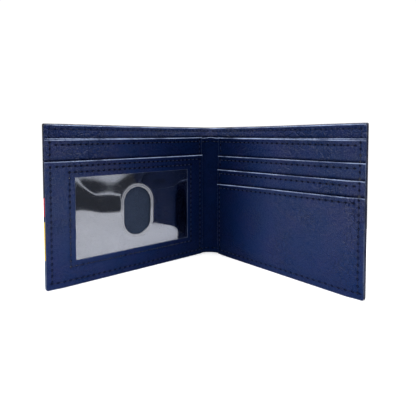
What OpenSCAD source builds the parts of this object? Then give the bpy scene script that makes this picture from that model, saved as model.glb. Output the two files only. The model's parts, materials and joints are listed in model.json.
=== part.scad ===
// Two-fold billfold: a wrap cover with a spine strip between two fold lines, a full-width
// bill compartment, a framed clear window pocket on the left half and four stepped card
// pockets on the right half.  It stands on its lower edge, part open, towards -Y.
//
// Every half is drawn flat in its own axes and then turned about its fold line:
// x runs from the fold line to the free edge, z is height, and depth counts inwards
// from the outside face of the cover.

/* [Cover] */
// Height of the cover, from the surface it stands on to its upper edge
cover_height = 90; // [84:0.5:100]
// Length of one half, from its fold line to its free edge
half_length = 112.7; // [104:0.1:124]
// Distance between the two fold lines
spine_width = 6.8; // [6.4:0.1:9]
// Fold of each half from lying flat, as it stands
rest_fold = 44.6; // [20:0.2:60]
// Radius of the two free corners of each half
corner_radius = 1.2; // [0.6:0.2:4]

/* [Sheets] */
// Thickness of the cover leather
cover_thickness = 0.8; // [0.6:0.05:1]
// Thickness of the turned edge of the cover, and of the stiffener inside it
turned_thickness = 0.4; // [0.3:0.05:0.5]
// Width of the turned edge of the cover
turned_width = 10; // [6:0.5:14]
// Thickness of the lining and of every pocket sheet
sheet_thickness = 0.35; // [0.3:0.05:0.4]
// Free depth of the bill compartment
bill_gap = 0.45; // [0.4:0.05:0.6]
// Width of the hems that close the bill compartment
hem_width = 6; // [4:0.5:8]
// Free depth between one pocket sheet and the next
slot_gap = 0.05; // [0.03:0.01:0.1]
// Thickness of the cloth that hangs behind each card pocket
liner_thickness = 0.12; // [0.1:0.01:0.15]

/* [Pockets] */
// Height of the bill divider and of the upper pockets
divider_height = 82.2; // [78:0.1:84]
// Distance from the fold line to the pocket sheets
gutter_offset = 4.4; // [3.5:0.1:6]
// Height of the window frame sheet
frame_height = 70.4; // [68:0.1:74]
// Heights of the four card pockets, from back to front
card_heights = [82.2, 70.2, 61, 51.8];
// How far each card liner reaches below its pocket's edge
liner_depth = 50; // [48:0.5:54]
// Height of the leather band at the top of the first three card pockets
band_height = 18; // [14:0.5:22]

/* [Window] */
// Clear length of the window
window_length = 78.3; // [70:0.1:80]
// Clear height of the window
window_height = 46.9; // [44:0.1:50]
// Distance from the fold line to the near side of the window
window_start = 18; // [16:0.1:20]
// Height of the lower side of the window
window_bottom = 14.1; // [12:0.1:16]
// How far the film runs behind the frame on every side
film_overlap = 7; // [4:0.5:8]
// Thickness of the clear film
film_thickness = 0.25; // [0.2:0.05:0.3]
// Width of the thumb slot in the film
thumb_width = 18; // [16:0.5:22]
// Height of the thumb slot in the film
thumb_height = 29.4; // [26:0.2:34]
// Width of the raised rim round the thumb slot
rim_width = 2.2; // [1.6:0.1:2.6]

/* [Stitching] */
// Width of a laid thread
thread_width = 0.5; // [0.4:0.05:0.6]
// How far a thread stands proud of the leather
thread_proud = 0.2; // [0.1:0.05:0.25]
// Distance of the edge stitching from the free edge and from the lower edge
edge_inset = 4; // [3:0.25:5]
// Distance of the other stitching from the edge that it holds
top_inset = 2.8; // [2:0.2:4]

/* [Hidden] */
left = -1;
right = 1;

// Depths of the sheets, counted inwards from the outside face of the cover.
turned_depth = cover_thickness;
lining_depth = turned_depth + turned_thickness;
bill_depth = lining_depth + sheet_thickness;
divider_depth = bill_depth + bill_gap;
pocket_depth = divider_depth + sheet_thickness + slot_gap;
band_lift = liner_thickness;
pocket_step = liner_thickness + sheet_thickness + slot_gap;
film_depth = pocket_depth + band_lift + sheet_thickness + 2 * slot_gap;
frame_depth = film_depth + film_thickness;

// The fold lines run down the middle of the bill compartment's depth.
fold_depth = bill_depth + bill_gap / 2;
fold_y = cover_thickness / 2 - fold_depth;
half_spine = spine_width / 2;

// Clear length left at a fold line, on each side of it.
cover_relief = 0.15;
divider_relief = 0.9;
// The threads of neighbouring bodies stop this far from a fold line.
thread_relief = 1.2;
// On the outside the thread lies in a channel, a little below the leather's face.
channel_depth = 0.25;
channel_ease = channel_depth - thread_proud;
// Height of the rim round the thumb slot.
rim_proud = 0.15;

window_end = window_start + window_length;
window_top = window_bottom + window_height;
window_middle = [window_start + window_length / 2, window_bottom + window_height / 2];
side_seam = half_length - edge_inset;

navy = [0.09, 0.12, 0.27];
dark_navy = [0.06, 0.08, 0.19];
cover_blue = [0.07, 0.09, 0.22];
board_grey = [0.5, 0.48, 0.45];
cloth_navy = [0.05, 0.06, 0.13];
clear_film = [0.85, 0.88, 0.92, 0.35];
thread_navy = [0.04, 0.05, 0.12];

// ---- Placing ----

// Turns a half about its fold line, from flat to the way it stands.
module on_half(side) {
    translate([side * half_spine, fold_y, 0])
        rotate([0, 0, -side * rest_fold])
            if (side > 0) children();
            else mirror([1, 0, 0]) children();
}

module on_spine() {
    translate([0, fold_y, 0]) children();
}

// Gives a drawn outline its thickness, from one depth to another.
module layer(from_depth, to_depth) {
    rotate([90, 0, 0])
        translate([0, 0, from_depth - fold_depth])
            linear_extrude(to_depth - from_depth) children();
}

// ---- Outlines ----

module block(x0, x1, z0, z1) {
    translate([x0, z0]) square([x1 - x0, z1 - z0]);
}

// A sheet with its two free corners rounded.
module round_sheet(x0, x1, z0, z1, radius) {
    block(x0, x1 - radius, z0, z1);
    block(x1 - 2 * radius, x1, z0 + radius, z1 - radius);
    for (z = [z0 + radius, z1 - radius])
        translate([x1 - radius, z]) circle(radius, $fn = 48);
}

// A sheet with only its lower free corner rounded, for what ends below the cover's edge.
module pocket_sheet(x0, x1, z0, z1, radius) {
    block(x0, x1 - radius, z0, z1);
    block(x1 - 2 * radius, x1, z0 + radius, z1);
    translate([x1 - radius, z0 + radius]) circle(radius, $fn = 48);
}

module slot_outline(centre, width, height) {
    translate(centre) {
        square([width, height - width], center = true);
        for (end = [-1, 1])
            translate([0, end * (height - width) / 2]) circle(d = width, $fn = 72);
    }
}

// ---- Cover, lining and bill divider ----

module cover(side) {
    color(cover_blue) on_half(side) {
        difference() {
            layer(0, cover_thickness)
                round_sheet(cover_relief, half_length, 0, cover_height, corner_radius);
            layer(-1, channel_depth) outside_seam();
        }
        layer(turned_depth, lining_depth) difference() {
            round_sheet(cover_relief, half_length, 0, cover_height, corner_radius);
            block(0, half_length - turned_width, turned_width, cover_height - turned_width);
        }
    }
}

module stiffener(side) {
    ease = 0.3;
    color(board_grey) on_half(side)
        layer(turned_depth, lining_depth)
            block(cover_relief + ease, half_length - turned_width - ease,
                turned_width + ease, cover_height - turned_width - ease);
}

module lining(side) {
    edge = 0.6;
    color(navy) on_half(side)
        layer(lining_depth, bill_depth)
            round_sheet(cover_relief, half_length - edge, 0, cover_height - edge, corner_radius);
}

// The divider's hems fill the bill compartment's depth along its sides and lower edge, and
// only part of it along the mouth.
module divider(side) {
    mouth_hem = sheet_thickness * 0.7;
    color(navy) on_half(side) {
        layer(divider_depth, divider_depth + sheet_thickness)
            pocket_sheet(divider_relief, half_length, 0, divider_height, corner_radius);
        layer(bill_depth, divider_depth)
            block(divider_relief, half_length - corner_radius, 0, hem_width);
        layer(bill_depth, divider_depth)
            block(half_length - hem_width, half_length - 0.6, hem_width, divider_height);
        layer(divider_depth - mouth_hem, divider_depth)
            block(divider_relief, half_length - hem_width, divider_height - hem_width,
                divider_height);
    }
}

module cover_spine() {
    reach = half_spine - cover_relief;
    color(cover_blue) on_spine() {
        difference() {
            layer(0, cover_thickness) block(-reach, reach, 0, cover_height);
            layer(-1, channel_depth) outside_spine_seam();
        }
        layer(turned_depth, lining_depth) block(-reach, reach, 0, turned_width);
        layer(turned_depth, lining_depth)
            block(-reach, reach, cover_height - turned_width, cover_height);
    }
}

module lining_spine() {
    reach = half_spine - cover_relief;
    edge = 0.6;
    color(navy) on_spine()
        layer(lining_depth, bill_depth) block(-reach, reach, 0, cover_height - edge);
}

module divider_spine() {
    reach = half_spine - cover_relief;
    color(dark_navy) on_spine() {
        layer(divider_depth, divider_depth + sheet_thickness)
            block(-reach, reach, 0, divider_height);
        layer(bill_depth, divider_depth) block(-reach, reach, 0, hem_width);
    }
}

// ---- Left half: slip pocket, film and window frame ----

module slip_pocket_left() {
    color(navy) on_half(left)
        layer(pocket_depth + band_lift, pocket_depth + band_lift + sheet_thickness)
            pocket_sheet(gutter_offset, half_length, 0, divider_height, corner_radius);
}

module window_film() {
    color(clear_film) on_half(left) {
        layer(film_depth, frame_depth) difference() {
            block(window_start - film_overlap, window_end + film_overlap,
                window_bottom - film_overlap, window_top + film_overlap);
            slot_outline(window_middle, thumb_width, thumb_height);
        }
        layer(frame_depth, frame_depth + rim_proud) difference() {
            slot_outline(window_middle, thumb_width + 2 * rim_width, thumb_height + 2 * rim_width);
            slot_outline(window_middle, thumb_width, thumb_height);
        }
    }
}

module window_frame() {
    color(navy) on_half(left)
        layer(frame_depth, frame_depth + sheet_thickness) difference() {
            pocket_sheet(gutter_offset, half_length, 0, frame_height, corner_radius);
            block(window_start, window_end, window_bottom, window_top);
        }
}

// ---- Right half: stepped card pockets and the cloth behind them ----

function card_depth(place) = pocket_depth + (place - 1) * pocket_step;
function card_face(place) = card_depth(place) + liner_thickness + sheet_thickness;

// The first three pockets are bands; the front one runs down to the lower edge.
module card_pocket(place) {
    top = card_heights[place - 1];
    color(navy) on_half(right)
        layer(card_depth(place) + liner_thickness, card_face(place))
            if (place < len(card_heights)) block(gutter_offset, half_length, top - band_height, top);
            else pocket_sheet(gutter_offset, half_length, 0, top, corner_radius);
}

module card_liner(place) {
    top = card_heights[place - 1];
    overlap = 6;
    side_ease = 1;
    color(cloth_navy) on_half(right)
        layer(card_depth(place), card_depth(place) + liner_thickness)
            block(gutter_offset + side_ease, half_length - side_ease,
                top - liner_depth, top - overlap);
}

// ---- Stitching: one laid thread for each straight seam ----

module level_run(x0, x1, z) {
    block(x0, x1, z - thread_width / 2, z + thread_width / 2);
}

module upright_run(x, z0, z1) {
    block(x - thread_width / 2, x + thread_width / 2, z0, z1);
}

module on_face(depth) {
    layer(depth, depth + thread_proud) children();
}

module in_channel() {
    layer(channel_ease, channel_depth) children();
}

// The seam that shows round the outside of the cover.
module outside_seam() {
    level_run(thread_relief, side_seam, cover_height - top_inset);
    level_run(thread_relief, side_seam, edge_inset);
    upright_run(side_seam, edge_inset, cover_height - top_inset);
}

module outside_spine_seam() {
    reach = half_spine - thread_relief;
    for (z = [edge_inset, cover_height - top_inset]) level_run(-reach, reach, z);
}

module cover_stitching(side) {
    color(thread_navy) {
        on_half(side) in_channel() outside_seam();
        on_half(side) on_face(bill_depth)
            level_run(thread_relief, side_seam, cover_height - top_inset);
        on_half(side) on_face(bill_depth)
            upright_run(side_seam, divider_height + 1, cover_height - top_inset - 1);
    }
}

// Seams at the free edge and the lower edge step from one sheet's face to the next.
module edge_stitching_left() {
    frame_face = frame_depth + sheet_thickness;
    slip_face = pocket_depth + band_lift + sheet_thickness;
    color(thread_navy) on_half(left) {
        on_face(frame_face) {
            level_run(gutter_offset, side_seam, edge_inset);
            upright_run(side_seam, edge_inset, frame_height);
        }
        on_face(slip_face) upright_run(side_seam, frame_height + 1, divider_height);
    }
}

module edge_stitching_right() {
    color(thread_navy) on_half(right) {
        on_face(card_face(4)) {
            level_run(gutter_offset, side_seam, edge_inset);
            upright_run(side_seam, edge_inset, card_heights[3]);
        }
        for (place = [1:3])
            on_face(card_face(place))
                upright_run(side_seam, card_heights[place] + 1, card_heights[place - 1]);
    }
}

module pocket_stitching_left() {
    gutter_seam = gutter_offset + 1.6;
    slip_face = pocket_depth + band_lift + sheet_thickness;
    frame_face = frame_depth + sheet_thickness;
    color(thread_navy) on_half(left) {
        on_face(slip_face) {
            level_run(gutter_seam, side_seam - 1, divider_height - top_inset);
            upright_run(gutter_seam, frame_height + 1, divider_height - top_inset);
        }
        on_face(frame_face) {
            level_run(gutter_seam, side_seam - 1, frame_height - top_inset);
            upright_run(gutter_seam, edge_inset + 1, frame_height - top_inset);
        }
    }
}

module pocket_stitching_right() {
    gutter_seam = gutter_offset + 1.6;
    bottoms = [card_heights[1] + 1, card_heights[2] + 1, card_heights[3] + 1, edge_inset + 1];
    color(thread_navy) on_half(right)
        for (place = [1:4])
            on_face(card_face(place)) {
                level_run(gutter_seam, side_seam - 1, card_heights[place - 1] - top_inset);
                upright_run(gutter_seam, bottoms[place - 1], card_heights[place - 1] - top_inset);
            }
}

module window_stitching() {
    margin = 3;
    x0 = window_start - margin;
    x1 = window_end + margin;
    z0 = window_bottom - margin;
    z1 = window_top + margin;
    color(thread_navy) on_half(left) on_face(frame_depth + sheet_thickness) {
        for (z = [z0, z1]) level_run(x0, x1, z);
        for (x = [x0, x1]) upright_run(x, z0, z1);
    }
}

module spine_stitching() {
    reach = half_spine - thread_relief;
    color(thread_navy) on_spine() {
        in_channel() outside_spine_seam();
        on_face(bill_depth) level_run(-reach, reach, cover_height - top_inset);
        for (z = [edge_inset, divider_height - top_inset])
            on_face(divider_depth + sheet_thickness) level_run(-reach, reach, z);
    }
}

// ---- The named pieces ----

cover_spine();
lining_spine();
divider_spine();
spine_stitching();

cover(left);  // cover_left
stiffener(left);  // stiffener_left
lining(left);  // lining_left
divider(left);  // divider_left
slip_pocket_left();
window_film();
window_frame();
cover_stitching(left);  // cover_stitching_left
edge_stitching_left();
pocket_stitching_left();
window_stitching();

cover(right);  // cover_right
stiffener(right);  // stiffener_right
lining(right);  // lining_right
divider(right);  // divider_right
card_pocket(1);  // card_pocket_1
card_pocket(2);  // card_pocket_2
card_pocket(3);  // card_pocket_3
card_pocket(4);  // card_pocket_4
card_liner(1);  // card_liner_1
card_liner(2);  // card_liner_2
card_liner(3);  // card_liner_3
cover_stitching(right);  // cover_stitching_right
edge_stitching_right();
pocket_stitching_right();
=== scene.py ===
# %% [markdown]
# # A bifold wallet that stands part open
# The wallet is a stack of thin sheets of coated leather: a printed cover, the lining of the bill
# compartment, a divider, and on it a framed clear window on the left and four stepped card
# pockets on the right.  The frame file holds where each sheet lies and how the two halves turn.
# This script gives every sheet its turned edges, seams, grain and shine.

# %% Load the frame
import json
import math

import bmesh
import bpy
import numpy as np
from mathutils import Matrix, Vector


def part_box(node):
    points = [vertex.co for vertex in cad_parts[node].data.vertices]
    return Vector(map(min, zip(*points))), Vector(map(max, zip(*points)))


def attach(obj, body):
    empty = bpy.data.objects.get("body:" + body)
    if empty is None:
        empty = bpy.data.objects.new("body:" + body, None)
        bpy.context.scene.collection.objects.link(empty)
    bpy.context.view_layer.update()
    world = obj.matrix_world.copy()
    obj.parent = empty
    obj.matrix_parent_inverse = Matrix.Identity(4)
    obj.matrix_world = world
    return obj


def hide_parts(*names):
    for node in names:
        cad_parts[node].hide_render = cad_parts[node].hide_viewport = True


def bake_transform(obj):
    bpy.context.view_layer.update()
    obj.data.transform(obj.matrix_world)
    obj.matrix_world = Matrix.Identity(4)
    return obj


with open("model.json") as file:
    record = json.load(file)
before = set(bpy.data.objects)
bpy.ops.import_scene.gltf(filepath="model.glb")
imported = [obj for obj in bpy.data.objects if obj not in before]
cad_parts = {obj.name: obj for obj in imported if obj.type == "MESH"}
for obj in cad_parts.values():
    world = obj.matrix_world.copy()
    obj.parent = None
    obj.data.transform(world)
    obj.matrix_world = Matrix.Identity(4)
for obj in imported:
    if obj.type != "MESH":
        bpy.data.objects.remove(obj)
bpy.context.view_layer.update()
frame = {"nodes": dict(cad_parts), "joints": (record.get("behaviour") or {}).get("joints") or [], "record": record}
scene = bpy.context.scene

# %% [markdown]
# ## Measures
# Everything here is in millimetres and is turned into metres at the very end.  What the frame
# can tell is read from it: the fold lines from the joints, the fold angle from the direction in
# which the right half's outside faces, and the heights from the nodes' boxes.

# %% Measures from the frame
MM = 0.001
LEFT, RIGHT = -1, 1
HALF_BODY = {LEFT: "left_half", RIGHT: "right_half"}
SIDE_NAME = {LEFT: "left", RIGHT: "right"}

mounts = {m["name"]: m for m in frame["record"]["mounts"]}
fold_lines = {j["name"]: Vector(j["pos_m"]) / MM for j in frame["joints"]}
out_x, out_y, _ = mounts["outside_right"]["axis"]
REST_FOLD = math.atan2(out_x, out_y)
FOLD_X, FOLD_Y, _ = fold_lines["right_fold"]


def top_of(node):
    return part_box(node)[1].z / MM


COVER_TOP = top_of("cover_right")
LINING_TOP = top_of("lining_right")
POCKET_TOP = top_of("divider_right")
FRAME_TOP = top_of("window_frame")
CARD_TOPS = [top_of(f"card_pocket_{place}") for place in (1, 2, 3, 4)]
print(f"fold {math.degrees(REST_FOLD):.1f} degrees, fold lines at x = {FOLD_X:.2f}, y = {FOLD_Y:.2f}")
print("card pocket edges at", [round(v, 1) for v in CARD_TOPS])

# %% Depths of the sheets, counted inwards from the outside face of the cover
COVER_FACE = 0.8
LINING = (1.2, 1.55)
DIVIDER = (2.0, 2.35)
SLIP = (2.52, 2.87)
FILM = (2.97, 3.22)
WINDOW_FRAME = (3.24, 3.59)
CARD_STEP = 0.52
LINER_THICK = 0.12
FOLD_DEPTH = LINING[1] + (DIVIDER[0] - LINING[1]) / 2

edge_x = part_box("cover_right")[1].x / MM
HALF = (edge_x - FOLD_X - FOLD_DEPTH * math.sin(REST_FOLD)) / math.cos(REST_FOLD)
FREE = FOLD_X + HALF
GUTTER = 4.4
CORNER = 1.2
SHEET_RIM = 0.45
WINDOW = {"low": (18.0, 14.1), "high": (96.3, 61.0)}
THUMB_SLOT = (18.0, 29.4)
SEAM_EDGE = 3.3
SEAM_TOP = 2.8
print(f"half length {HALF:.2f} mm, free edge {FREE:.2f} mm from the middle of the spine")

# %% [markdown]
# ## From a flat wallet to a standing one
# Leather bends over a few millimetres, so each half joins the spine by an arc.  One function
# carries any place on the flat wallet to where it stands: `t` runs from the middle of the spine
# to the free edge, `depth` inwards from the outside face, and `z` up.  Every sheet, thread and
# bulge goes through it, and so the layers keep their order all the way round the fold.

# %% The standing wallet
BEND = 2.8


def stand(side, t, depth, z):
    """Points of the row frame, in metres, for places on the flat wallet in millimetres."""
    t, depth, z = np.broadcast_arrays(*(np.asarray(v, float) for v in (t, depth, z)))
    outwards = FOLD_DEPTH - depth
    s = t - FOLD_X
    radius = BEND / math.tan(REST_FOLD / 2)
    turned = REST_FOLD * np.clip((s + BEND) / (2 * BEND), 0, 1)
    straight = np.maximum(s - BEND, 0)
    x = FOLD_X - BEND + (radius + outwards) * np.sin(turned) + straight * math.cos(REST_FOLD)
    y = FOLD_Y - radius + (radius + outwards) * np.cos(turned) - straight * math.sin(REST_FOLD)
    x = np.where(s < -BEND, t, x)
    return np.stack([side * x, y, z], -1) * MM


def smooth(value, low, high):
    """0 below low, 1 above high and an even slope between them."""
    u = np.clip((np.asarray(value, float) - low) / (high - low), 0, 1)
    return u * u * (3 - 2 * u)


print("free edge at the foot:", stand(RIGHT, FREE, 0, 0).round(4))

# %% [markdown]
# ## How the stack settles
# The seams at the free edge and along the foot press the sheets together, and between the seams
# the pockets stand a little off each other.  `settle` changes a sheet's depth for that, with the
# same rule for all the sheets, so that none passes through another.

# %% Press and swell of the stack
EDGE_PRESS = 0.42
FOOT_PRESS = 0.62
GUTTER_PRESS = 0.8
SWELL = 0.06


def settle(t, z, depth):
    """Depth of a sheet in the sewn wallet.  Only what lies over the lining moves."""
    s = t - FOLD_X
    free = EDGE_PRESS + (1 - EDGE_PRESS) * smooth(HALF - s, 2.5, 10)
    foot = FOOT_PRESS + (1 - FOOT_PRESS) * smooth(z, 2, 10)
    gutter = 1 - (1 - GUTTER_PRESS) * smooth(s, 1, GUTTER) * (1 - smooth(s, GUTTER + 2, GUTTER + 8))
    swell = 1 + SWELL * smooth(HALF - s, 6, 45) * smooth(s, 8, 35) * smooth(z, 10, 60)
    over = np.maximum(depth - LINING[1], 0)
    return np.minimum(depth, LINING[1]) + over * free * foot * gutter * swell


# %% [markdown]
# ## A sheet of leather
# A sheet could be a plane with a Solidify modifier, but then its edges are square and its seams
# are painted on.  Here a sheet is a grid of lines laid where something happens: close together
# where the edge rolls over, on every needle hole, and far apart in between.  The front and the
# back meet in the rolled rim, so the sheet is one closed skin.

# %% Grid lines and seams
RIM_SHARES = (0.134, 0.5, 1.0)
SEAM_SIDES = (-1.1, -0.55, 0.55, 1.1)
HOLE_PARTS = 5


def holes(low, high, pitch):
    """Evenly spaced needle holes from low to high."""
    return np.linspace(low, high, max(2, round((high - low) / pitch) + 1))


def level_seam(z, places):
    return {"level": True, "at": z, "holes": np.asarray(places)}


def upright_seam(t, places):
    return {"level": False, "at": t, "holes": np.asarray(places)}


def between(values, low, high):
    return [v for v in values if low < v < high]


def grid_lines(low, high, marks, coarse, rim, rolled=(True, True), kept=()):
    """Lines from low to high: the kept ones, the rolled rims, the marks, and more in wide gaps."""
    lines = [low, high, *kept]
    lines += [low + rim * share for share in RIM_SHARES if rolled[0]]
    lines += [high - rim * share for share in RIM_SHARES if rolled[1]]
    near = rim * 1.15
    for mark in sorted(between(marks, low + near * rolled[0], high - near * rolled[1])):
        if min(abs(mark - line) for line in lines) > 0.12:
            lines.append(mark)
    lines.sort()
    filled = [lines[0]]
    for line in lines[1:]:
        steps = math.ceil((line - filled[-1]) / coarse - 0.001)
        filled += list(np.linspace(filled[-1], line, steps + 1)[1:])
    return np.array(filled)


def seam_marks(seams, level):
    """Marks along (level) or across the seams, so that every needle hole falls on crossing lines."""
    marks = []
    for seam in seams:
        if seam["level"] == level:
            step = (seam["holes"][1] - seam["holes"][0]) / HOLE_PARTS
            marks += list(np.arange(seam["holes"][0] - step, seam["holes"][-1] + 1.5 * step, step))
        else:
            marks += [seam["at"] + side for side in (0, *SEAM_SIDES)]
    return marks


print("lines over a 10 mm strip:", grid_lines(0, 10, (), 2.4, 0.32).round(2))

# %% Seam valleys and needle dents
VALLEY = 0.13
VALLEY_WIDTH = 0.9
DENT = 0.3
DENT_LONG = 0.84
DENT_WIDE = 0.60


def along_and_across(seam, t, z):
    return (t, z - seam["at"]) if seam["level"] else (z, t - seam["at"])


def valley(seams, t, z):
    """How far the seams pull the leather down."""
    pull = np.zeros(np.shape(t))
    for seam in seams:
        along, across = along_and_across(seam, t, z)
        there = smooth(along, seam["holes"][0] - 1.5, seam["holes"][0])
        there = there * (1 - smooth(along, seam["holes"][-1], seam["holes"][-1] + 1.5))
        pull = np.maximum(pull, there * np.exp(-((across / VALLEY_WIDTH) ** 2)))
    return pull


def dents(seams, t, z):
    """1 in the middle of each needle hole, falling to 0 round it."""
    depth = np.zeros(np.shape(t))
    for seam in seams:
        along, across = along_and_across(seam, t, z)
        places = seam["holes"]
        step = places[1] - places[0]
        nearest = places[0] + step * np.clip(np.round((along - places[0]) / step), 0, len(places) - 1)
        spot = ((along - nearest) / DENT_LONG) ** 2 + (across / DENT_WIDE) ** 2
        depth = np.maximum(depth, np.exp(-spot))
    return depth


test_seam = level_seam(0.0, holes(0, 10, 3.4))
print("dent at a needle hole, and between two:", dents([test_seam], np.array([0, 1.7]), 0.0).round(2))

# %% The bead along a pocket's upper edge, and its sag
BEAD = ("top", 1.2, 0.45)


def sag(at_gutter, at_free, top):
    """The upper edge isn't quite level: its rise at both ends, in millimetres."""
    def lift(t, z):
        share = np.clip((t - FOLD_X - GUTTER) / (HALF - GUTTER), 0, 1) ** 0.7
        return (at_gutter + (at_free - at_gutter) * share) * np.clip(z / top, 0, 1) ** 2
    return lift


print("bead:", BEAD[1], "mm wide and", BEAD[2], "mm thick")

# %% The sheet class
class Sheet:
    """One sheet: its outline on the flat wallet, its depths, turned edges, seams and opening."""

    def __init__(self, side, span, height, depths, seams=(), back_seams=(), hems=(), round_top=0,
                 round_foot=0, opening=None, rim=0.32, coarse=2.4, cut=False, relief=None,
                 arch=None, tuck=None):
        self.side, self.span, self.height = side, span, height
        self.back, self.front = depths
        self.seams, self.back_seams, self.hems = seams, back_seams, hems
        self.round_top, self.round_foot, self.opening = round_top, round_foot, opening
        self.rim, self.coarse, self.cut = rim, coarse, cut
        self.relief, self.arch, self.tuck = relief, arch, tuck

    def tucked(self, t, z):
        """1 where the next sheet covers this one, fading over the gap above its edge: the mask of a painted
        shadow.
        """
        if self.tuck is None:
            return np.zeros(np.shape(t))
        height, lift = self.tuck
        own = self.arch(t, z) if self.arch else 0.0
        return 1 - smooth(z + own - height - lift(t, np.full(np.shape(t), height)), 0.35, 1.9)

    def edge_distance(self, t, z):
        """Distance to the nearest rolled edge."""
        low, high = self.height
        away = np.minimum(np.minimum(z - low, high - z), self.span[1] - t)
        if not self.cut:
            away = np.minimum(away, t - self.span[0])
        if self.opening:
            (t0, z0), (t1, z1) = self.opening
            gap = np.maximum(np.maximum(t0 - t, t - t1), np.maximum(z0 - z, z - z1))
            away = np.minimum(away, np.abs(gap))
        return np.maximum(away, 0)

    def hem_height(self, t, z):
        """Extra thickness where an edge is turned: its wide flat part and the roll at the edge."""
        raised = np.zeros(np.shape(t))
        for edge, width, thick in self.hems:
            away = {"top": self.height[1] - z, "free": self.span[1] - t, "foot": z - self.height[0],
                    "gutter": t - self.span[0]}[edge]
            raised = np.maximum(raised, thick * (1 - smooth(away, width - 0.7, width + 0.7)))
        return raised

    def faces(self, t, z, bare=False):
        """Depths of the front and back faces, before the stack settles."""
        front = self.front + self.hem_height(t, z) - VALLEY * valley(self.seams, t, z)
        back = self.back + VALLEY * valley(self.back_seams, t, z)
        if self.relief:
            front = front + self.relief(t, z)
            back = back + self.relief(t, z)
        roll = np.sqrt(1 - (1 - np.clip(self.edge_distance(t, z) / self.rim, 0, 1)) ** 2)
        middle, half = (front + back) / 2, (front - back) / 2 * roll
        front, back = middle + half, middle - half
        if bare:
            return front, back
        dent = np.minimum(DENT, (self.front - self.back) * 0.8)
        return (front - dent * dents(self.seams, t, z) * (roll > 0.9),
                back + dent * dents(self.back_seams, t, z) * (roll > 0.9))

    def rounded(self, t, z):
        """The outline's free corners, pulled in from square to round."""
        t, z = t.copy(), z.copy()
        for radius, foot in ((self.round_foot, True), (self.round_top, False)):
            if not radius:
                continue
            centre_t = self.span[1] - radius
            centre_z = self.height[0] + radius if foot else self.height[1] - radius
            across, up = t - centre_t, (centre_z - z if foot else z - centre_z)
            corner = (across > 0) & (up > 0)
            share = np.maximum(across, up)[corner] / np.hypot(across, up)[corner]
            t[corner] = centre_t + across[corner] * share
            z[corner] = centre_z + (-1 if foot else 1) * up[corner] * share
        return t, z

    def on(self, t, z, depth):
        """Places of the row frame for points at a depth of this sheet."""
        rise = self.arch(t, z) if self.arch else 0.0
        return stand(self.side, t, settle(t, z, depth), z + rise)

    def on_front(self, t, z, proud=0.0):
        return self.on(t, z, self.faces(t, z, bare=True)[0] + proud)

    def on_back(self, t, z, proud=0.0):
        return self.on(t, z, self.faces(t, z, bare=True)[1] - proud)

    def lines(self):
        seams = (*self.seams, *self.back_seams)
        t_marks, z_marks = seam_marks(seams, True), seam_marks(seams, False)
        if self.cut:
            t_marks += list(np.arange(FOLD_X - BEND, FOLD_X + BEND + 0.1, BEND / 6))
        if self.tuck:
            z_marks += list(np.arange(self.tuck[0] - 1.5, self.tuck[0] + 3.1, 0.5))
        for edge, width, _ in self.hems:
            steps = (width - 0.7, width, width + 0.7)
            t_marks += [self.span[1] - v for v in steps if edge == "free"]
            t_marks += [self.span[0] + v for v in steps if edge == "gutter"]
            z_marks += [self.height[1] - v for v in steps if edge == "top"]
            z_marks += [self.height[0] + v for v in steps if edge == "foot"]
        hole_t, hole_z = [], []
        if self.opening:
            (t0, z0), (t1, z1) = self.opening
            ring = [0] + [self.rim * share for share in RIM_SHARES]
            hole_t = [t0 - v for v in ring] + [t1 + v for v in ring]
            hole_z = [z0 - v for v in ring] + [z1 + v for v in ring]
        t_lines = grid_lines(*self.span, t_marks, self.coarse, self.rim, (not self.cut, True), hole_t)
        z_lines = grid_lines(*self.height, z_marks, self.coarse, self.rim, kept=hole_z)
        return t_lines, z_lines

    def mesh(self, name):
        """The closed skin, with where each point lies and how near it is to a needle hole."""
        t_lines, z_lines = self.lines()
        t, z = np.meshgrid(t_lines, z_lines, indexing="ij")
        front, back = self.faces(t, z)
        hole_shade = np.stack([dents(self.seams, t, z), dents(self.back_seams, t, z)])
        # Lighter rims, partly wear and partly a painted highlight; full along the upper edge, where the overhead
        # light falls on it.
        edge_wear_and_highlight = 0.62 * (1 - np.clip(self.edge_distance(t, z) / 1.2, 0, 1))
        edge_wear_and_highlight = np.maximum(edge_wear_and_highlight, 1 - np.clip((self.height[1] - z) / 1.2, 0, 1))
        # Painted shadow: the mask that darkens this sheet just above the next sheet's edge.
        painted_tuck_shadow = self.tucked(t, z)
        flat_t, flat_z = self.rounded(t, z)
        skin = np.stack([self.on(flat_t, flat_z, front), self.on(flat_t, flat_z, back)])
        lie = np.stack([np.stack([self.side * flat_t, flat_z, depth], -1) for depth in (front, back)])
        index = np.arange(skin[..., 0].size).reshape(skin.shape[:3])
        quads = []
        for i in range(len(t_lines) - 1):
            for j in range(len(z_lines) - 1):
                if self.opening and self.inside_opening(t_lines[i:i + 2], z_lines[j:j + 2]):
                    continue
                for face in (0, 1):
                    ring = [index[face, i, j], index[face, i + 1, j],
                            index[face, i + 1, j + 1], index[face, i, j + 1]]
                    quads.append(ring if face else ring[::-1])
        caps = []
        if self.cut:
            for j in range(len(z_lines) - 1):
                caps.append([index[0, 0, j], index[0, 0, j + 1], index[1, 0, j + 1], index[1, 0, j]])
        return skin_mesh(name, skin.reshape(-1, 3), quads, caps, lie.reshape(-1, 3) * MM,
                         hole_shade.reshape(-1), np.stack([edge_wear_and_highlight, edge_wear_and_highlight]).reshape(-1),
                         np.stack([painted_tuck_shadow, painted_tuck_shadow * 0]).reshape(-1))

    def inside_opening(self, ts, zs):
        (t0, z0), (t1, z1) = self.opening
        return t0 < sum(ts) / 2 < t1 and z0 < sum(zs) / 2 < z1


print("sheet methods:", [name for name in vars(Sheet) if not name.startswith("_")])

# %% From points to an object
WELD = 1e-6


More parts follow.
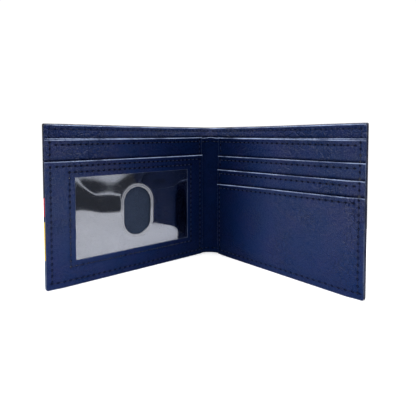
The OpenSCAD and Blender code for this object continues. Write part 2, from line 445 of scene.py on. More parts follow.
def skin_mesh(name, points, quads, caps=(), lie=None, hole_shade=None, edge_wear_and_highlight=None, tucked=None):
    """An object from points and faces, welded where front and back meet, faces outwards."""
    mesh = bpy.data.meshes.new(name)
    mesh.from_pydata(points, [], [tuple(int(v) for v in q) for q in (*quads, *caps)])
    for label, kind, values in (("lie", "FLOAT_VECTOR", lie), ("stitch_hole", "FLOAT", hole_shade),
                                ("edge_wear_and_highlight", "FLOAT", edge_wear_and_highlight), ("tucked", "FLOAT", tucked)):
        if values is not None:
            layer = mesh.attributes.new(label, kind, "POINT")
            field = "vector" if kind == "FLOAT_VECTOR" else "value"
            layer.data.foreach_set(field, np.asarray(values, np.float32).ravel())
    made = bmesh.new()
    made.from_mesh(mesh)
    made.faces.ensure_lookup_table()
    cap_edges = {e for face in made.faces[len(quads):] for e in face.edges}
    for edge in cap_edges:
        edge.smooth = all(face.index >= len(quads) for face in edge.link_faces)
    bmesh.ops.remove_doubles(made, verts=made.verts, dist=WELD)
    bmesh.ops.dissolve_degenerate(made, dist=WELD / 10, edges=made.edges)
    bmesh.ops.recalc_face_normals(made, faces=made.faces)
    if made.calc_volume(signed=True) < 0:
        bmesh.ops.reverse_faces(made, faces=made.faces)
    for face in made.faces:
        face.smooth = True
    made.to_mesh(mesh)
    made.free()
    piece = bpy.data.objects.new(name, mesh)
    scene.collection.objects.link(piece)
    return piece


def report(piece):
    """Prints a piece's size in triangles and whether it is closed."""
    made = bmesh.new()
    made.from_mesh(piece.data)
    open_edges = sum(1 for edge in made.edges if not edge.is_manifold)
    triangles = sum(len(face.verts) - 2 for face in made.faces)
    print(f"{piece.name}: {triangles} triangles, {open_edges} open edges, "
          f"{made.calc_volume(signed=True) / MM ** 3:.0f} mm3")
    made.free()


print("front and back are welded within", WELD, "m")

# %% [markdown]
# ## Wiring nodes with plain arithmetic
# A finish is mostly arithmetic on textures.  `Wire` is a node's output with the usual signs
# overloaded, so `1 - mask` adds a Math node, and `Wiring.add` makes every other node: its
# settings first, then its inputs.  The same two classes serve materials and Geometry Nodes.

# %% The wiring classes
class Wire:
    """An output socket; arithmetic on it adds Math nodes to its tree."""

    def __init__(self, wiring, socket):
        self.wiring, self.socket = wiring, socket

    def worked(self, operation, first, second):
        return self.wiring.add("ShaderNodeMath", {0: first, 1: second}, operation=operation)

    def __add__(self, other): return self.worked("ADD", self, other)
    def __radd__(self, other): return self.worked("ADD", other, self)
    def __sub__(self, other): return self.worked("SUBTRACT", self, other)
    def __rsub__(self, other): return self.worked("SUBTRACT", other, self)
    def __mul__(self, other): return self.worked("MULTIPLY", self, other)
    def __rmul__(self, other): return self.worked("MULTIPLY", other, self)
    def __truediv__(self, other): return self.worked("DIVIDE", self, other)
    def __neg__(self): return self.worked("MULTIPLY", self, -1.0)


class Wiring:
    """Adds nodes to one tree."""

    def __init__(self, tree):
        self.tree = tree

    def add(self, kind, values=None, output=0, stops=None, **settings):
        node = self.tree.nodes.new(kind)
        for name, value in settings.items():
            setattr(node, name, value)
        if stops:
            ramp = node.color_ramp
            while len(ramp.elements) < len(stops):
                ramp.elements.new(1.0)
            for element, (place, colour) in zip(ramp.elements, stops):
                element.position, element.color = place, (*colour, 1.0)
        for key, value in (values or {}).items():
            if isinstance(value, Wire):
                self.tree.links.new(value.socket, node.inputs[key])
            else:
                node.inputs[key].default_value = value
        return Wire(self, node.outputs[output]) if node.outputs else node

    def attribute(self, name, output="Fac"):
        return self.add("ShaderNodeAttribute", output=output, attribute_name=name)

    def axis(self, vector, number):
        return self.add("ShaderNodeSeparateXYZ", {0: vector}, number)

    def ramp(self, value, low, high):
        """0 to 1 as value goes from low to high, with soft ends."""
        return self.add("ShaderNodeMapRange", {0: value, 1: low, 2: high, 3: 0.0, 4: 1.0},
                        interpolation_type="SMOOTHSTEP")

    def mix(self, share, first, second):
        """The first colour with a share of the second; each is a wire or three numbers."""
        first, second = ((*c, 1) if isinstance(c, tuple) else c for c in (first, second))
        return self.add("ShaderNodeMix", {0: share, 6: first, 7: second}, 2, data_type="RGBA")

    def noise(self, place, size, detail=2.0, roughness=0.5, distortion=0.0, output=0):
        return self.add("ShaderNodeTexNoise", {
            "Vector": place, "Scale": 1 / size, "Detail": detail, "Roughness": roughness,
            "Distortion": distortion}, output)

    def cell_walls(self, place, size, bend_size, detail, bend):
        """Distance to the walls of irregular cells, whose walls are bent by noise."""
        bent = self.noise(place, bend_size, detail, output="Color")
        step = self.add("ShaderNodeVectorMath", {0: bent, "Scale": bend}, operation="SCALE")
        moved = self.add("ShaderNodeVectorMath", {0: place, 1: step}, operation="ADD")
        return self.add("ShaderNodeTexVoronoi", {"Vector": moved, "Scale": 1 / size, "Randomness": 1.0},
                        feature="DISTANCE_TO_EDGE")

    def bump(self, height, strength, distance):
        return self.add("ShaderNodeBump", {"Strength": strength, "Distance": distance, "Height": height})


print("arithmetic on wires:", [name for name in vars(Wire) if name.startswith("__")][1:])


# %% Starting and closing a finish
def new_finish(name):
    """An empty node material and its wiring."""
    finish = bpy.data.materials.new(name)
    finish.use_nodes = True
    finish.node_tree.nodes.clear()
    return finish, Wiring(finish.node_tree)


def close_finish(wiring, surface):
    """Joins a shader, or a Principled BSDF with these inputs, to the output."""
    if isinstance(surface, dict):
        surface = wiring.add("ShaderNodeBsdfPrincipled", surface)
    wiring.add("ShaderNodeOutputMaterial", {"Surface": surface})


def shade(colour, share, lift=0.0):
    """A colour made darker or lighter."""
    return tuple(c * share + lift for c in colour)


print("half of a white:", shade((1.0, 1.0, 1.0), 0.5))

# %% [markdown]
# ## Coated leather
# The leather is a fabric with a pebbled navy coating.  The pebbles are Voronoi cells with soft
# walls, broken up by noise, and a few long creases run through them.  The coating has a low
# sheen.  Its edges are lighter, partly as wear and partly as a painted highlight, the needle holes
# are painted almost black as their shade, and the colour is darkened beside the spine and just
# above the next sheet's edge as painted shade and shadow.  A varying sheen could be a coat, but
# a coat doesn't follow the grain, so a matt and a glossy leather with the same grain are mixed.
# The patterns read the `lie` attribute, which is where a point lies on the flat wallet, so the
# grain goes round the fold with the leather.

# %% Coated leather
PEBBLE = 0.00085
CREASE = 0.0030
GRAIN_HEIGHT = 0.00036
MATT_LEVEL, GLOSS_LEVEL, GLOSS_ROUGHNESS = 0.015, 0.65, 0.30
NAVY, NAVY_BLUSH = (0.0030, 0.0185, 0.092), (0.0100, 0.0195, 0.095)
FOLD_SHADE_NAVY, TUCK_SHADOW_NAVY = (0.0002, 0.0024, 0.015), (0.0002, 0.0008, 0.006)
RIM_WEAR_AND_HIGHLIGHT_BLUE, HOLE_SHADE_BLACK = (0.25, 0.32, 0.52), (0.0003, 0.0005, 0.002)
BARE_GREY = (0.028, 0.039, 0.067)
BARE_FROM = FRAME_TOP - 3


def leather_grain(wiring, place, strength):
    """The Normal of pebbled leather, and its pebbles and creases."""
    pebbles = wiring.ramp(wiring.cell_walls(place, PEBBLE, 0.0022, 2.0, 0.0006), 0.0, 0.32)
    creases = 1 - wiring.ramp(wiring.cell_walls(place, CREASE, 0.006, 3.0, 0.0045), 0.0, 0.16)
    patches = wiring.ramp(wiring.noise(place, 0.020), 0.40, 0.60)
    height = pebbles * 0.5 + wiring.noise(place, 0.00035, 3.0) * 0.25
    height = height - creases * (patches * 0.8 + 0.2) * 1.6
    height = height + wiring.noise(place, 0.0075, 2.0, 0.55) * 2.2
    return wiring.bump(height, strength, GRAIN_HEIGHT), pebbles, creases * patches


def coated_leather(name, gloss=0.8, grain=0.9, dark_holes=0.82, fold=True, bare_below=None):
    """Navy coated leather in blushed patches, grey and matt below the height bare_below.

    The shine is a share of a glossy layer.  It is weaker along the foot, stronger on the lighter
    rims and weak in the painted shadow above the next sheet's edge.  With fold it grows away from
    the spine and is weakest beside it, where the colour is darkened too: both stand in for the
    shade of the fold, as painted shade.  Without fold the shine is strongest beside the spine."""
    finish, wiring = new_finish(name)
    place = wiring.attribute("lie", "Vector")
    hole, wear_and_rim_highlight, tucked = (wiring.attribute(label) for label in ("stitch_hole", "edge_wear_and_highlight", "tucked"))
    across, up = wiring.axis(place, 0), wiring.axis(place, 1)
    open_part = wiring.ramp(-across, 0.004, 0.112) + wiring.ramp(across, 0.009, 0.063)
    normal, pebbles, creases = leather_grain(wiring, place, grain)
    patches = wiring.ramp(wiring.noise(place, 0.018, 3.0, 0.6), 0.35, 0.68)
    body = wiring.mix(patches, NAVY, NAVY_BLUSH)
    body = wiring.mix((1 - pebbles) * 0.30 + creases * 0.12, body, shade(NAVY, 0.45))
    # Painted shade: beside the spine the colour darkens where the two halves shade each other.
    if fold:
        body = wiring.mix((1 - open_part) * 0.78, body, FOLD_SHADE_NAVY)
    # Painted shadow just above the next sheet's edge, where that edge shades this sheet.
    body = wiring.mix(tucked * 0.85, body, TUCK_SHADOW_NAVY)
    # The rims turn a light blue: partly wear and partly a painted highlight of the overhead light.
    smears = wiring.ramp(wiring.noise(place, 0.011, 3.0), 0.3, 0.62) * 0.75 + 0.25
    rim_highlight_and_wear = wiring.ramp(wear_and_rim_highlight, 0.45, 0.8) * smears
    body = wiring.mix(rim_highlight_and_wear, body, RIM_WEAR_AND_HIGHLIGHT_BLUE)
    # Painted shade: the needle holes turn almost black.
    painted_hole_shade = wiring.ramp(hole, 0.12, 0.6) * dark_holes
    body = wiring.mix(painted_hole_shade, body, HOLE_SHADE_BLACK)
    rough = 0.5 + (1 - pebbles) * 0.12 + wiring.noise(place, 0.009) * 0.10
    shine = open_part * open_part if fold else 1.35 - open_part * 0.65
    shine = shine * (0.35 + wiring.ramp(up, 0.0, 0.055) * 0.65) * gloss * (1 - tucked * 0.9)
    shine = shine * (pebbles * 0.4 + 0.6) + rim_highlight_and_wear * 0.5
    if bare_below:
        bare = 1 - wiring.ramp(up / MM, bare_below - 0.5, bare_below + 0.5)
        body = wiring.mix(bare, body, BARE_GREY)
        shine = shine * (1 - bare)
        rough = rough + bare * 0.3
    matt, glossy = (wiring.add("ShaderNodeBsdfPrincipled", {
        "Base Color": body, "Roughness": roughness, "Normal": normal, "Specular IOR Level": level})
        for roughness, level in ((rough, MATT_LEVEL), (GLOSS_ROUGHNESS, GLOSS_LEVEL)))
    share = shine * (1 - painted_hole_shade) * (0.5 / GLOSS_LEVEL)
    close_finish(wiring, wiring.add("ShaderNodeMixShader", {0: share, 1: matt, 2: glossy}))
    return finish


leather = coated_leather("navy_coated_leather")
deep_leather = coated_leather("navy_lining_leather", 0.85, grain=1.0, dark_holes=0.45, fold=False)
backing = coated_leather("navy_slip_leather", bare_below=BARE_FROM)
print("finishes:", leather.name, deep_leather.name, backing.name)

# %% [markdown]
# ## Printed cover
# The outside is the same coated leather with a print.  The print here is plain bands that run
# round the left half: two dark ones, a red, a yellow and a grey blue one; the right half is navy.
# The bands depend only on the height, and their ragged edges come from a little noise.

# %% Printed cover finish
PRINT_BANDS = (
    (0.0, (0.10, 0.15, 0.24)),
    (16.2, (0.85, 0.58, 0.035)),
    (37.3, (0.012, 0.016, 0.055)),
    (40.2, (0.72, 0.055, 0.075)),
    (50.3, (0.010, 0.014, 0.050)),
    (84.0, (0.004, 0.005, 0.012)),
)
PLAIN_PRINT, PRINT_VALLEY = (0.010, 0.014, 0.048), (0.01, 0.012, 0.03)
PRINT_RUBBED, PRINT_HOLE_SHADE = (0.30, 0.28, 0.28), (0.001, 0.001, 0.003)
PRINT_END = 0.020


def printed_leather(name):
    """Coated leather with plain printed bands over the height."""
    finish, wiring = new_finish(name)
    place = wiring.attribute("lie", "Vector")
    hole, wear_and_rim_highlight = wiring.attribute("stitch_hole"), wiring.attribute("edge_wear_and_highlight")
    normal, pebbles, _ = leather_grain(wiring, place, 0.40)
    plain_half = wiring.ramp(wiring.axis(place, 0), PRINT_END, PRINT_END + 0.0002)
    ragged = wiring.axis(place, 1) / MM + (wiring.noise(place, 0.0007) - 0.5) * 0.5
    stops = [(height / COVER_TOP, colour) for height, colour in PRINT_BANDS]
    bands = wiring.add("ShaderNodeValToRGB", {0: ragged / COVER_TOP}, stops=stops)
    bands.socket.node.color_ramp.interpolation = "CONSTANT"
    body = wiring.mix(plain_half, bands, PLAIN_PRINT)
    body = wiring.mix((1 - pebbles) * 0.25, body, PRINT_VALLEY)
    body = wiring.mix(wear_and_rim_highlight * wiring.ramp(wiring.noise(place, 0.003, 3.0), 0.5, 0.75) * 0.45,
                      body, PRINT_RUBBED)
    # Painted shade: the needle holes turn almost black.
    body = wiring.mix(wiring.ramp(hole, 0.15, 0.75) * 0.93, body, PRINT_HOLE_SHADE)
    rough = 0.36 + (1 - pebbles) * 0.12 + wiring.noise(place, 0.008) * 0.12
    close_finish(wiring, {"Base Color": body, "Roughness": rough, "Normal": normal,
                          "Specular IOR Level": 0.4, "Coat Weight": (1 - hole) * 0.2,
                          "Coat Roughness": 0.2})
    return finish


print_leather = printed_leather("printed_cover_leather")
print("bands start at", [band[0] for band in PRINT_BANDS], "mm")

# %% [markdown]
# ## Thread, cloth, board and film
# The thread is dark navy polyester.  The liners are thin woven cloth and the stiffeners are
# pressed leather board.  The film is clear soft vinyl: it shows what is behind it, reflects more
# at a glancing angle, and has a faint haze.

# %% The other finishes
def fibrous(name, fibres, body, rough, strength, depth, more):
    """A finish whose colour and relief come from one pattern of fibres, made by a function."""
    finish, wiring = new_finish(name)
    pattern = fibres(wiring)
    close_finish(wiring, {"Base Color": body(wiring, pattern), "Roughness": rough(pattern),
                          "Normal": wiring.bump(pattern, strength, depth), **more})
    return finish


def lint(size, *settings):
    """Noise that is fixed to the object."""
    return lambda wiring: wiring.noise(wiring.add("ShaderNodeTexCoord", output="Object"),
                                       size, *settings)


WEAVE = 0.0006


def weave(wiring):
    """Warp and weft: two waves at right angles."""
    place = wiring.attribute("lie", "Vector")
    turns = 2 * math.pi / WEAVE
    weft, warp = (wiring.add("ShaderNodeMath", {0: wiring.axis(place, number) * turns},
                             operation="SINE") for number in (0, 1))
    return weft * warp


def clear_vinyl(name):
    finish, wiring = new_finish(name)
    scuffs = wiring.ramp(wiring.noise(wiring.attribute("lie", "Vector"), 0.006, 4.0, 0.65), 0.45, 0.8)
    share = wiring.add("ShaderNodeFresnel", {"IOR": 1.5}) * 2.4 + 0.045 + scuffs * 0.025
    shine = wiring.add("ShaderNodeBsdfPrincipled", {
        "Base Color": (0.72, 0.74, 0.8, 1), "Metallic": 1.0, "Roughness": 0.045 + scuffs * 0.05})
    clear = wiring.add("ShaderNodeBsdfTransparent", {"Color": (0.93, 0.94, 0.97, 1)})
    film = wiring.add("ShaderNodeMixShader", {0: share, 1: clear, 2: shine})
    frost = wiring.add("ShaderNodeBsdfPrincipled", {"Base Color": (0.50, 0.52, 0.58, 1),
                                                    "Roughness": 0.35})
    welded = wiring.attribute("edge_wear_and_highlight")
    close_finish(wiring, wiring.add("ShaderNodeMixShader", {0: welded * 0.5, 1: film, 2: frost}))
    return finish


THREAD_NAVY, CLOTH_NAVY = (0.0025, 0.006, 0.026), (0.010, 0.013, 0.030)
BOARD_GREY = (0.32, 0.29, 0.25)
thread = fibrous(
    "navy_thread", lint(0.00018),
    lambda w, p: w.mix(p * 0.6, THREAD_NAVY, shade(THREAD_NAVY, 2.2, 0.004)),
    lambda p: 0.5 + p * 0.2, 0.5, 0.00006, {"Specular IOR Level": 0.25})
liner_cloth = fibrous(
    "woven_liner_cloth", weave,
    lambda w, p: w.mix(w.ramp(p, -0.6, 0.6), shade(CLOTH_NAVY, 0.6), CLOTH_NAVY),
    lambda p: 0.82, 0.5, 0.00008, {"Sheen Weight": 0.2})
board = fibrous(
    "pressed_leather_board", lint(0.0012, 5.0, 0.7, 1.5),
    lambda w, p: w.mix(p, shade(BOARD_GREY, 0.7), BOARD_GREY),
    lambda p: 0.85, 0.4, 0.0001, {})
vinyl = clear_vinyl("clear_vinyl")
print("finishes:", thread.name, liner_cloth.name, board.name, vinyl.name)

# %% [markdown]
# ## Stitches with Geometry Nodes
# A lockstitch shows as a short thread that comes up out of one needle hole, bends over the
# leather and goes down into the next.  A seam is drawn as a line with a point in every hole.
# The tree puts one bent thread on the middle of every stretch of that line, turns it along the
# stretch and out of the leather, and stretches it to reach from hole to hole.

# %% The stitch tree
THREAD_WIDTH = 0.38
STITCH_SHARE = 0.56
STITCH_RISE = 0.20
STITCH_SINK = 0.22


def stitch_tree():
    """A Geometry Nodes group that turns seam lines into stitches."""
    tree = bpy.data.node_groups.new("stitches", "GeometryNodeTree")
    face = tree.interface
    face.new_socket("Geometry", in_out="INPUT", socket_type="NodeSocketGeometry")
    for label, value in (("Thread Width", THREAD_WIDTH * MM), ("Share", STITCH_SHARE),
                         ("Rise", STITCH_RISE * MM), ("Sink", STITCH_SINK * MM)):
        socket = face.new_socket(label, in_out="INPUT", socket_type="NodeSocketFloat")
        socket.default_value = value
    face.new_socket("Thread", in_out="INPUT", socket_type="NodeSocketMaterial")
    face.new_socket("Geometry", in_out="OUTPUT", socket_type="NodeSocketGeometry")
    wiring = Wiring(tree)
    given = tree.nodes.new("NodeGroupInput")
    inputs = {socket.name: Wire(wiring, socket) for socket in given.outputs if socket.name}

    ends = tree.nodes.new("GeometryNodeInputMeshEdgeVertices")
    first, last = (Wire(wiring, ends.outputs[label]) for label in ("Position 1", "Position 2"))
    stretch = wiring.add("ShaderNodeVectorMath", {0: last, 1: first}, operation="SUBTRACT")
    length = wiring.add("ShaderNodeVectorMath", {0: stretch}, "Value", operation="LENGTH")
    out = wiring.add("GeometryNodeInputNamedAttribute", {"Name": "out"}, "Attribute",
                     data_type="FLOAT_VECTOR")
    kept = inputs["Geometry"]
    fields = []
    for label, kind, field in (("stretch", "FLOAT_VECTOR", stretch), ("length", "FLOAT", length)):
        kept = wiring.add("GeometryNodeStoreNamedAttribute", {"Geometry": kept, "Name": label,
                          "Value": field}, data_type=kind, domain="EDGE")
        fields.append(wiring.add("GeometryNodeInputNamedAttribute", {"Name": label}, "Attribute",
                                 data_type=kind))
    points = wiring.add("GeometryNodeMeshToPoints", {"Mesh": kept}, mode="EDGES")

    def corner(x, z):
        return wiring.add("ShaderNodeCombineXYZ", {0: x, 2: z})

    bow = wiring.add("GeometryNodeCurveQuadraticBezier", {
        "Resolution": 6, "Start": corner(-0.5, -inputs["Sink"]),
        "Middle": corner(0.0, inputs["Rise"] * 2.0), "End": corner(0.5, -inputs["Sink"])})
    ring = wiring.add("GeometryNodeCurvePrimitiveCircle", {
        "Resolution": 6, "Radius": inputs["Thread Width"] * 0.5})
    stitch = wiring.add("GeometryNodeCurveToMesh", {"Curve": bow, "Profile Curve": ring,
                                                    "Fill Caps": True})
    turn = wiring.add("FunctionNodeAxesToRotation", {"Primary Axis": fields[0], "Secondary Axis": out},
                      primary_axis="X", secondary_axis="Z")
    size = wiring.add("ShaderNodeCombineXYZ", {0: fields[1] * inputs["Share"], 1: 1.0, 2: 1.0})
    placed = wiring.add("GeometryNodeInstanceOnPoints", {"Points": points, "Instance": stitch,
                                                         "Rotation": turn, "Scale": size})
    real = wiring.add("GeometryNodeRealizeInstances", {"Geometry": placed})
    even = wiring.add("GeometryNodeSetShadeSmooth", {"Geometry": real})
    done = wiring.add("GeometryNodeSetMaterial", {"Geometry": even, "Material": inputs["Thread"]})
    wiring.add("NodeGroupOutput", {"Geometry": done})
    return tree


STITCHES = stitch_tree()


def stitches(name, runs):
    """One mesh of stitches.  runs is a list of (points, outward directions), in metres."""
    mesh = bpy.data.meshes.new(name)
    points, outs, edges = [], [], []
    for run, out in runs:
        edges += [(len(points) + i, len(points) + i + 1) for i in range(len(run) - 1)]
        points += list(run)
        outs += list(out)
    mesh.from_pydata(points, edges, [])
    layer = mesh.attributes.new("out", "FLOAT_VECTOR", "POINT")
    layer.data.foreach_set("vector", np.asarray(outs, np.float32).ravel())
    line = bpy.data.objects.new(name, mesh)
    scene.collection.objects.link(line)
    modifier = line.modifiers.new("stitches", "NODES")
    modifier.node_group = STITCHES
    for socket in STITCHES.interface.items_tree:
        if socket.in_out == "INPUT" and socket.name == "Thread":
            modifier[socket.identifier] = thread
    shown = line.evaluated_get(bpy.context.evaluated_depsgraph_get())
    line.modifiers.remove(modifier)
    line.data = bpy.data.meshes.new_from_object(shown)
    for label in ("stretch", "length", "out"):
        if label in line.data.attributes:
            line.data.attributes.remove(line.data.attributes[label])
    return line


def seam_run(sheet, seam, back=False):
    """The points of a seam's needle holes on a sheet, and the directions out of the leather."""
    places, at = seam["holes"], np.full(len(seam["holes"]), seam["at"])
    t, z = (places, at) if seam["level"] else (at, places)
    on_face = sheet.on_back if back else sheet.on_front
    foot = on_face(t, z)
    out = on_face(t, z, 1.0) - foot
    return foot, out / np.linalg.norm(out, axis=1)[:, None]


print("stitch tree with", len(STITCHES.nodes), "nodes")

# %% [markdown]
# ## The pieces
# Each maker below lays out its sheets, the seams that hold them and the finish.  A sheet that
# crosses a fold is made in two parts that meet in the middle of the spine, where the leather
# stays flat, and each part bends round its own fold line.

# %% Dressing the pieces and baking their places
def dress(piece, finish, slot, *nodes):
    piece.data.materials.clear()
    piece.data.materials.append(finish)
    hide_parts(*nodes)
    report(piece)
    return piece


def bend_round_fold(piece, side):
    """Bakes the piece's transform into its mesh, which already goes round the fold."""
    start = Vector(stand(side, FOLD_X + BEND, FOLD_DEPTH, 0.0))
    end = Vector(stand(side, FOLD_X - BEND * 0.75, FOLD_DEPTH, 0.0))
    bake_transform(piece)


def metres(*lengths):
    return tuple(length * MM for length in lengths)


print("each fold bends over", 2 * BEND, "mm")


# %% Laying a sheet and sewing a seam
def lay(sheet, name, finish, slot, nodes):
    """Makes a sheet's piece, which rides on its half or is bent round the fold."""
    piece = dress(sheet.mesh(name), finish, slot, *nodes)
    if sheet.cut:
        bend_round_fold(piece, sheet.side)
    else:
        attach(piece, HALF_BODY[sheet.side])
    long, tall = sheet.span[1] - sheet.span[0], sheet.height[1] - sheet.height[0]
    area = None
    if sheet.opening:
        (t0, z0), (t1, z1) = sheet.opening
        area = (long * tall - (t1 - t0) * (z1 - z0)) * MM * MM
    metres(long, tall)


def sew(name, runs, side, *nodes):
    """Makes one piece of several seams; those with a node on the spine too go over the fold."""
    piece = dress(stitches(name, runs), thread, "thread", *nodes)
    if "spine_stitching" in nodes:
        bend_round_fold(piece, side)
    else:
        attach(piece, HALF_BODY[side])


print("bodies:", HALF_BODY)

# %% [markdown]
# ## Cover, lining and divider
# The cover is turned in by 10 mm at its edges and sewn through the lining all round, with the
# stiffener boards between them.  The bill compartment is the gap between lining and divider.  In
# the spine there is no board: the divider buckles forwards there, and its upper edge arches.

# %% Shapes near the spine and the upper corners
PITCH = 3.4
TURN_IN, TURN_THICK = 10.0, 0.4
TOP_ROUND = 0.8
TOP_SEAM = COVER_TOP - SEAM_TOP
SIDE_SEAM = FREE - SEAM_EDGE


def cover_rise(t, z):
    """The upper corners at the free edges stand a little higher than the spine."""
    return 0.55 * smooth(t, 40.0, FREE) * smooth(z, POCKET_TOP, COVER_TOP)


def gutter_bulge(t, z):
    """The divider buckles towards the opening in the gutter."""
    return 0.9 * (1 - smooth(t, FOLD_X - 1.5, FOLD_X + 2.6))


def gutter_arch(t, z):
    """The divider's upper edge rises in the gutter."""
    near = 1 - smooth(np.abs(t), 0.0, FOLD_X + 2.0)
    return (0.35 + 0.5 * near) * smooth(z, 40.0, POCKET_TOP)


print("divider stands forwards by", gutter_bulge(np.array([0.0]), 0.0)[0], "mm in the gutter")


# %% Cover, lining, divider and their stitches
def make_wrap(side):
    """The three sheets that cross the fold, and the stitches in them."""
    name = SIDE_NAME[side]
    whole = holes(PITCH / 2, SIDE_SEAM, PITCH)
    outside = (level_seam(TOP_SEAM, whole), level_seam(SEAM_EDGE, whole),
               upright_seam(SIDE_SEAM, holes(SEAM_EDGE, TOP_SEAM, PITCH)))
    cover = Sheet(side, (0.0, FREE), (0.0, COVER_TOP), (0.0, COVER_FACE), back_seams=outside,
                  hems=[(edge, TURN_IN, TURN_THICK) for edge in ("top", "foot", "free")],
                  round_top=TOP_ROUND, round_foot=CORNER, rim=0.6, coarse=3.0, cut=True,
                  arch=cover_rise)
    lay(cover, f"printed_cover_{name}", print_leather, "printed_cover",
        (f"cover_{name}", "cover_spine"))

    band = (level_seam(TOP_SEAM, whole),
            upright_seam(SIDE_SEAM, holes(POCKET_TOP + 0.8, TOP_SEAM, PITCH)))
    lining = Sheet(side, (0.0, FREE - 0.5), (0.3, LINING_TOP), LINING, seams=band,
                   hems=(("top", 1.2, 0.3), ("top", 5.6, 0.14)), round_top=TOP_ROUND,
                   round_foot=CORNER, rim=SHEET_RIM, coarse=3.0, cut=True, arch=cover_rise,
                   tuck=(POCKET_TOP, sag(0.8, -0.5, POCKET_TOP)))
    lay(lining, f"lining_leather_{name}", deep_leather, "navy_leather",
        (f"lining_{name}", "lining_spine"))

    short = holes(PITCH / 2, FOLD_X + GUTTER, PITCH)
    gutter = (level_seam(POCKET_TOP - SEAM_TOP, short), level_seam(SEAM_EDGE, short))
    divider = Sheet(side, (0.0, FREE - 0.4), (0.0, POCKET_TOP), DIVIDER, seams=gutter,
                    hems=(("top", 1.2, 0.1), ("top", 5.0, 0.06)), round_foot=CORNER, coarse=3.0,
                    cut=True, relief=gutter_bulge, arch=gutter_arch)
    lay(divider, f"bill_divider_{name}", leather, "navy_leather",
        (f"divider_{name}", "divider_spine"))

    runs = [seam_run(cover, seam, back=True) for seam in outside]
    runs += [seam_run(lining, seam) for seam in band]
    runs += [seam_run(divider, seam) for seam in gutter]
    sew(f"cover_stitches_{name}", runs, side, f"cover_stitching_{name}", "spine_stitching")


for side in (LEFT, RIGHT):
    make_wrap(side)

# %% [markdown]
# ## Stiffener boards
# A board of pressed leather fibre in each half of the cover keeps it flat.  It is a plain plate
# that nothing shows of, so the shape from the frame stays and only gets its finish.

# %% Stiffener boards
for side in (LEFT, RIGHT):
    node = frame["nodes"][f"stiffener_{SIDE_NAME[side]}"]
    node.data.materials.clear()
    node.data.materials.append(board)
print("boards keep their own shape")

# %% [markdown]
# ## The left half: slip pocket and window frame
# The slip pocket is a sheet sewn at its sides and foot.  In front of it lies the window frame,
# one sheet with an opening.  A Boolean could cut the opening, but it leaves long thin faces and
# a sharp edge.  Here the grid has lines on the opening's edges and leaves out the faces inside,
# so that its rim rolls over like every other.  The seams of both sheets share one spacing.

# %% Where the pocket sheets and their seams lie
def place_t(s):
    """From a distance along a half to a distance from the middle of the spine."""
    return s + FOLD_X


POCKET_SPAN = (place_t(GUTTER), FREE - 0.25)
GUTTER_SEAM = place_t(GUTTER + 2.1)
WINDOW_SEAM = 3.1
WINDOW_PITCHES = (3.35, 3.3)
print("pocket sheets reach from", [round(t, 2) for t in POCKET_SPAN], "mm")


# %% Slip pocket and window frame
def make_left_pockets():
    (s0, z0), (s1, z1) = WINDOW["low"], WINDOW["high"]
    opening = ((place_t(s0), z0), (place_t(s1), z1))
    seam_t = holes(opening[0][0] - WINDOW_SEAM, opening[1][0] + WINDOW_SEAM, WINDOW_PITCHES[0])
    seam_z = holes(z0 - WINDOW_SEAM, z1 + WINDOW_SEAM, WINDOW_PITCHES[1])
    step_t, step_z = seam_t[1] - seam_t[0], seam_z[1] - seam_z[0]
    all_t = seam_t[0] + step_t * np.arange(-3, len(seam_t) + 4)
    all_z = seam_z[0] + step_z * np.arange(-3, len(seam_z) + 6)

    def across(z, low, high):
        return level_seam(z, all_t[(all_t > low) & (all_t < high)])

    def up(t, low, high):
        return upright_seam(t, all_z[(all_z > low) & (all_z < high)])

    slip_seams = (across(POCKET_TOP - SEAM_TOP, GUTTER_SEAM, SIDE_SEAM - 1),
                  up(SIDE_SEAM, FRAME_TOP, POCKET_TOP - 1), up(GUTTER_SEAM, FRAME_TOP, POCKET_TOP - 1))
    slip = Sheet(LEFT, POCKET_SPAN, (0.4, POCKET_TOP), SLIP, seams=slip_seams,
                 hems=(BEAD, ("top", 8.0, 0.12)), round_foot=CORNER, rim=SHEET_RIM,
                 arch=sag(0.8, -0.5, POCKET_TOP), tuck=(FRAME_TOP, sag(0.2, -0.5, FRAME_TOP)))
    frame_seams = (across(FRAME_TOP - SEAM_TOP, GUTTER_SEAM, SIDE_SEAM - 1),
                   across(SEAM_EDGE, GUTTER_SEAM - 2, SIDE_SEAM + 1),
                   up(SIDE_SEAM, SEAM_EDGE - 1, FRAME_TOP - 1),
                   up(GUTTER_SEAM, SEAM_EDGE + 1, FRAME_TOP - 1),
                   level_seam(seam_z[0], seam_t), level_seam(seam_z[-1], seam_t),
                   upright_seam(seam_t[0], seam_z), upright_seam(seam_t[-1], seam_z))
    front = Sheet(LEFT, POCKET_SPAN, (0.0, FRAME_TOP), WINDOW_FRAME, seams=frame_seams,
                  hems=(BEAD, ("top", 6.0, 0.12), ("gutter", 1.2, 0.25)), round_foot=CORNER,
                  rim=SHEET_RIM, opening=opening, arch=sag(0.2, -0.5, FRAME_TOP))
    for sheet, name, node, skin in ((slip, "slip_pocket", "slip_pocket_left", backing),
                                    (front, "id_window_frame", "window_frame", leather)):
        lay(sheet, name, skin, "navy_leather", (node,))
    on_slip = [seam_run(slip, seam) for seam in slip_seams]
    on_frame = [seam_run(front, seam) for seam in frame_seams]
    sew("edge_stitches_left", [on_slip[1], *on_frame[1:3]], LEFT, "edge_stitching_left")
    sew("pocket_stitches_left", [on_slip[0], on_slip[2], on_frame[0], on_frame[3]], LEFT,
        "pocket_stitching_left")
    sew("window_stitches", on_frame[4:], LEFT, "window_stitching")


make_left_pockets()

# %% [markdown]
# ## The film
# Soft film never lies flat behind its frame: it swells out in the middle and runs in long waves.
# Its skin is laid in rings from the thumb slot out to its own cut edge.  The slot has a welded
# rim, two soft ridges, and the waves fade out there and where the frame holds the film.

# %% The clear film
FILM_REACH = 7.0
RIM_RIDGES = (0.7, 1.75)


